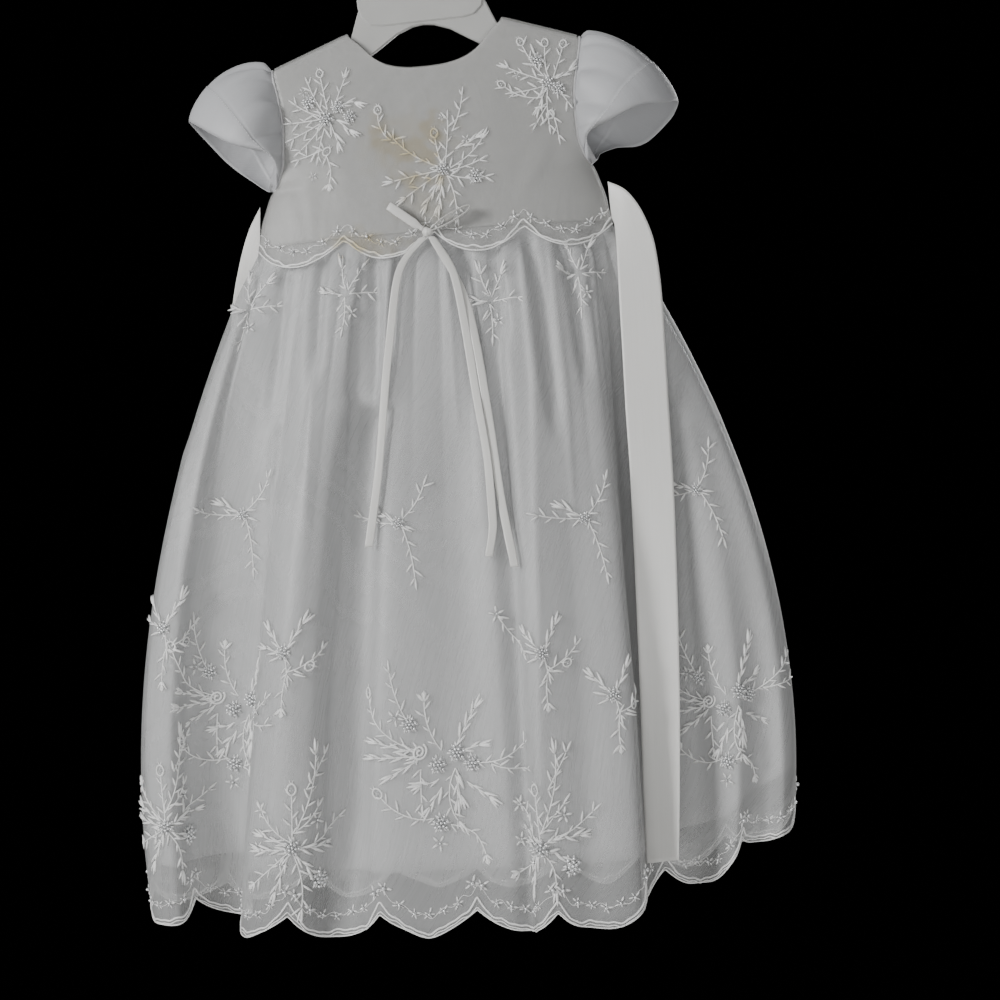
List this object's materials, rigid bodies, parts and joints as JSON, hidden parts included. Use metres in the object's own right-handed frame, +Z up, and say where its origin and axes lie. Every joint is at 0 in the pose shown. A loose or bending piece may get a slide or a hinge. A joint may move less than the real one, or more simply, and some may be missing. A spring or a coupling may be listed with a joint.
{
  "type": "christening gown on a hanger",
  "caption": "Baby's christening gown hung from a moulded hanger: satin under embroidered net, cap sleeves, gathered scalloped skirt, ribbon sash and bow",
  "frame": {"origin": "where a rail bears on the inside of the hanger's hook, in the middle of the hook's thickness", "axes": "+X to the right of the front as it is looked at, +Y from front to back, +Z up along the hang of the gown"},
  "size_m": [0.4915, 0.1627, 0.7796],
  "materials": {
    "satin": "white satin with a soft sheen",
    "net": "sheer white net, embroidered",
    "ribbon": "off-white satin ribbon",
    "pearl": "pearl",
    "hanger": "smooth white moulding"
  },
  "bodies": {
    "root": {"bodice_front": "satin", "bodice_back_left": "satin", "bodice_back_right": "satin", "sleeve_left": "satin", "sleeve_right": "satin", "underskirt_front": "satin", "underskirt_back": "satin", "overlay_front": "net", "overlay_back_left": "net", "overlay_back_right": "net", "skirt_front": "net", "skirt_back": "net", "sash_left": "ribbon", "sash_right": "ribbon", "bow_loop_left": "ribbon", "bow_loop_right": "ribbon", "bow_knot": "ribbon", "bow_tail_left": "ribbon", "bow_tail_middle": "ribbon", "bow_tail_right": "ribbon", "button_top": "pearl", "button_middle": "pearl", "button_low": "pearl", "hanger": "hanger"}
  },
  "joints": []
}
